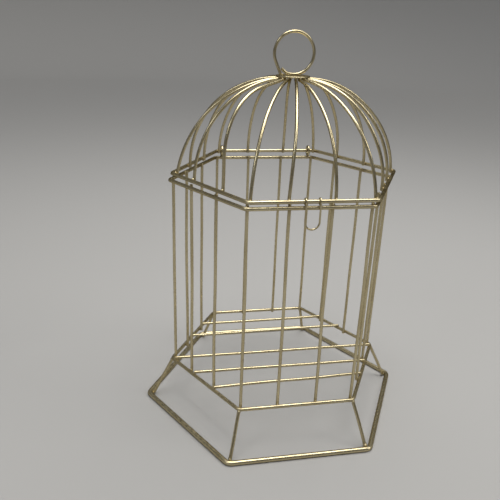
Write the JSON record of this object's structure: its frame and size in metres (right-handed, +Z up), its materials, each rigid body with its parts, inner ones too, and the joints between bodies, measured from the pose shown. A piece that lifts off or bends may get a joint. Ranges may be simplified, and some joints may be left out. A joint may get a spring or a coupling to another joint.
{
  "type": "bird cage on stand",
  "caption": "Decorative hexagonal wire bird cage on a splayed stand, with a hinged dome lid, a latch loop and a hanging ring.",
  "frame": {"origin": "on the surface that the base ring stands on, under the cage's centre", "axes": "+Z up through the dome's hub; -Y the front, where the latch hangs; +Y the back, where the lid is hinged; corners of the hexagon on +X and -X"},
  "size_m": [0.1778, 0.1554, 0.24],
  "materials": {
    "ring_wire": "satin, pale champagne gold",
    "upright_wire": "satin, pale champagne gold",
    "small_wire": "satin, pale champagne gold",
    "hub": "satin, pale champagne gold"
  },
  "bodies": {
    "cage": {"base_ring": "ring_wire", "leg_right": "upright_wire", "leg_back_right": "upright_wire", "leg_back_left": "upright_wire", "leg_left": "upright_wire", "leg_front_left": "upright_wire", "leg_front_right": "upright_wire", "floor_ring": "ring_wire", "floor_bar_1": "upright_wire", "floor_bar_2": "upright_wire", "floor_bar_3": "upright_wire", "floor_bar_4": "upright_wire", "floor_bar_5": "upright_wire", "top_ring": "ring_wire", "cage_wire_right": "upright_wire", "cage_wire_back_right": "upright_wire", "cage_wire_back_left": "upright_wire", "cage_wire_left": "upright_wire", "cage_wire_front_left": "upright_wire", "cage_wire_front_right": "upright_wire", "cage_wire_right_back_1": "upright_wire", "cage_wire_right_back_2": "upright_wire", "cage_wire_back_1": "upright_wire", "cage_wire_back_2": "upright_wire", "cage_wire_left_back_1": "upright_wire", "cage_wire_left_back_2": "upright_wire", "cage_wire_left_front_1": "upright_wire", "cage_wire_left_front_2": "upright_wire", "cage_wire_front_1": "upright_wire", "cage_wire_front_2": "upright_wire", "cage_wire_right_front_1": "upright_wire", "cage_wire_right_front_2": "upright_wire", "hinge_ring_left": "small_wire", "hinge_ring_right": "small_wire"},
    "lid": {"lid_ring": "ring_wire", "dome_rib_right": "upright_wire", "dome_rib_back_right": "upright_wire", "dome_rib_back_left": "upright_wire", "dome_rib_left": "upright_wire", "dome_rib_front_left": "upright_wire", "dome_rib_front_right": "upright_wire", "dome_rib_right_back_1": "upright_wire", "dome_rib_right_back_2": "upright_wire", "dome_rib_back_1": "upright_wire", "dome_rib_back_2": "upright_wire", "dome_rib_left_back_1": "upright_wire", "dome_rib_left_back_2": "upright_wire", "dome_rib_left_front_1": "upright_wire", "dome_rib_left_front_2": "upright_wire", "dome_rib_front_1": "upright_wire", "dome_rib_front_2": "upright_wire", "dome_rib_right_front_1": "upright_wire", "dome_rib_right_front_2": "upright_wire", "hub_disc": "hub", "ring_handle": "small_wire"},
    "latch": {"latch_loop": "small_wire"}
  },
  "joints": [
    {"name": "lid_hinge", "type": "hinge", "parent": "cage", "child": "lid", "pos_m": [0, 0.06192, 0.1575], "axis": [-1, 0, 0], "range_deg": [0, 175]},
    {"name": "latch_swing", "type": "hinge", "parent": "lid", "child": "latch", "pos_m": [0, -0.06191, 0.156], "axis": [-1, 0, 0], "range_deg": [0, 170]}
  ]
}
